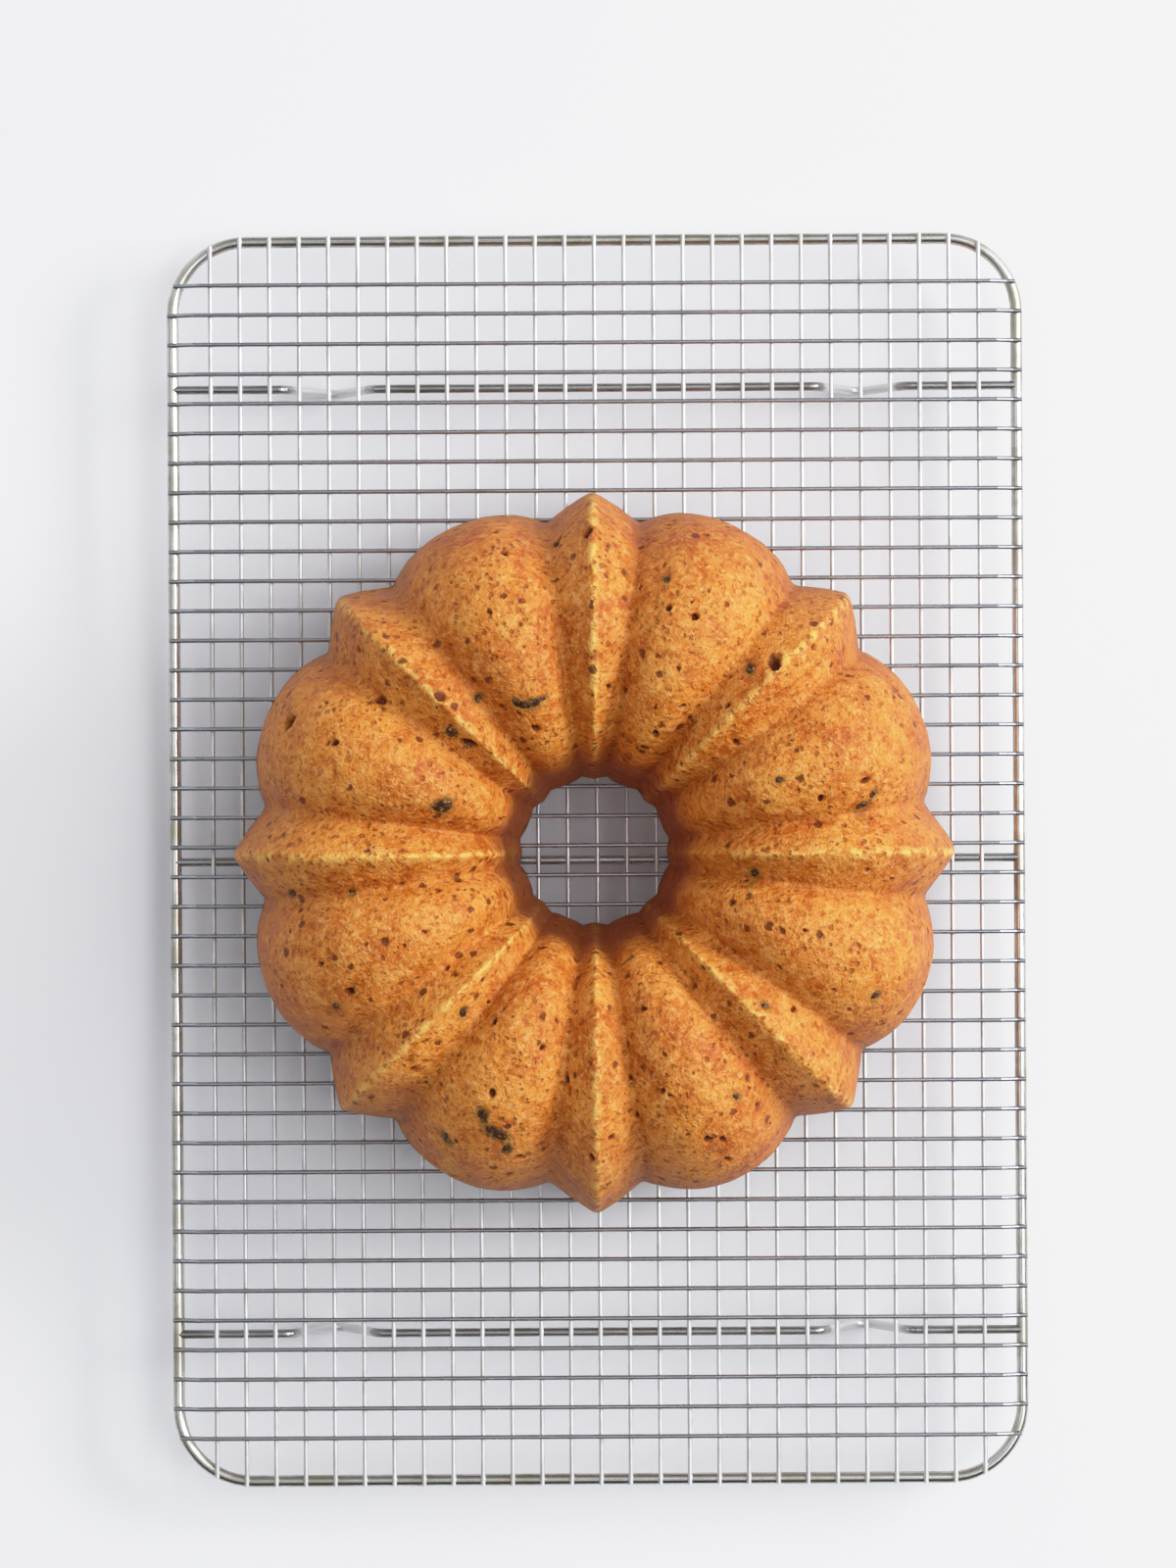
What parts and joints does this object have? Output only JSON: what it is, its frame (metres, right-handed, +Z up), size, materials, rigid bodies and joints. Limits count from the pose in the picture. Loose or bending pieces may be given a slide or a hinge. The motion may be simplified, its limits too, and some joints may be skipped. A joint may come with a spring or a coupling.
{
  "type": "chocolate chip ring cake on rack",
  "caption": "Fluted chocolate chip ring cake with a round centre hole, resting on a rectangular wire cooling rack with bent wire feet.",
  "frame": {"origin": "centre of the rack's bounding box, on the surface that the feet stand on", "axes": "+Z up, +Y along the rack's long side, +X along its short side"},
  "size_m": [0.29, 0.424, 0.1135],
  "materials": {
    "rim_steel": "satin",
    "rail_steel": "satin",
    "long_wire_steel": "satin",
    "cross_wire_steel": "satin",
    "cake_crust": "matte",
    "chocolate": "satin"
  },
  "bodies": {
    "rack": {"rim_frame": "rim_steel", "foot_rail_front": "rail_steel", "foot_rail_back": "rail_steel", "centre_rail": "rail_steel", "long_wire_01": "long_wire_steel", "long_wire_02": "long_wire_steel", "long_wire_03": "long_wire_steel", "long_wire_04": "long_wire_steel", "long_wire_05": "long_wire_steel", "long_wire_06": "long_wire_steel", "long_wire_07": "long_wire_steel", "long_wire_08": "long_wire_steel", "long_wire_09": "long_wire_steel", "long_wire_10": "long_wire_steel", "long_wire_11": "long_wire_steel", "long_wire_12": "long_wire_steel", "long_wire_13": "long_wire_steel", "long_wire_14": "long_wire_steel", "long_wire_15": "long_wire_steel", "long_wire_16": "long_wire_steel", "long_wire_17": "long_wire_steel", "long_wire_18": "long_wire_steel", "long_wire_19": "long_wire_steel", "long_wire_20": "long_wire_steel", "long_wire_21": "long_wire_steel", "long_wire_22": "long_wire_steel", "long_wire_23": "long_wire_steel", "long_wire_24": "long_wire_steel", "long_wire_25": "long_wire_steel", "long_wire_26": "long_wire_steel", "long_wire_27": "long_wire_steel", "cross_wire_pair_01": "cross_wire_steel", "cross_wire_pair_02": "cross_wire_steel", "cross_wire_pair_03": "cross_wire_steel", "cross_wire_pair_04": "cross_wire_steel", "cross_wire_pair_05": "cross_wire_steel", "cross_wire_pair_06": "cross_wire_steel", "cross_wire_pair_07": "cross_wire_steel", "cross_wire_pair_08": "cross_wire_steel", "cross_wire_pair_09": "cross_wire_steel", "cross_wire_pair_10": "cross_wire_steel", "cross_wire_pair_11": "cross_wire_steel", "cross_wire_pair_12": "cross_wire_steel", "cross_wire_pair_13": "cross_wire_steel", "cross_wire_pair_14": "cross_wire_steel", "cross_wire_pair_15": "cross_wire_steel", "cross_wire_pair_16": "cross_wire_steel", "cross_wire_pair_17": "cross_wire_steel", "cross_wire_pair_18": "cross_wire_steel", "cross_wire_pair_19": "cross_wire_steel", "cross_wire_pair_20": "cross_wire_steel"},
    "cake": {"cake_ring": "cake_crust", "surface_chips": "chocolate", "baked_in_chips": "chocolate"}
  },
  "joints": [
    {"name": "cake_lift", "type": "slide", "parent": "rack", "child": "cake", "axis": [0, 0, 1], "range_m": [0, 0.15]}
  ]
}
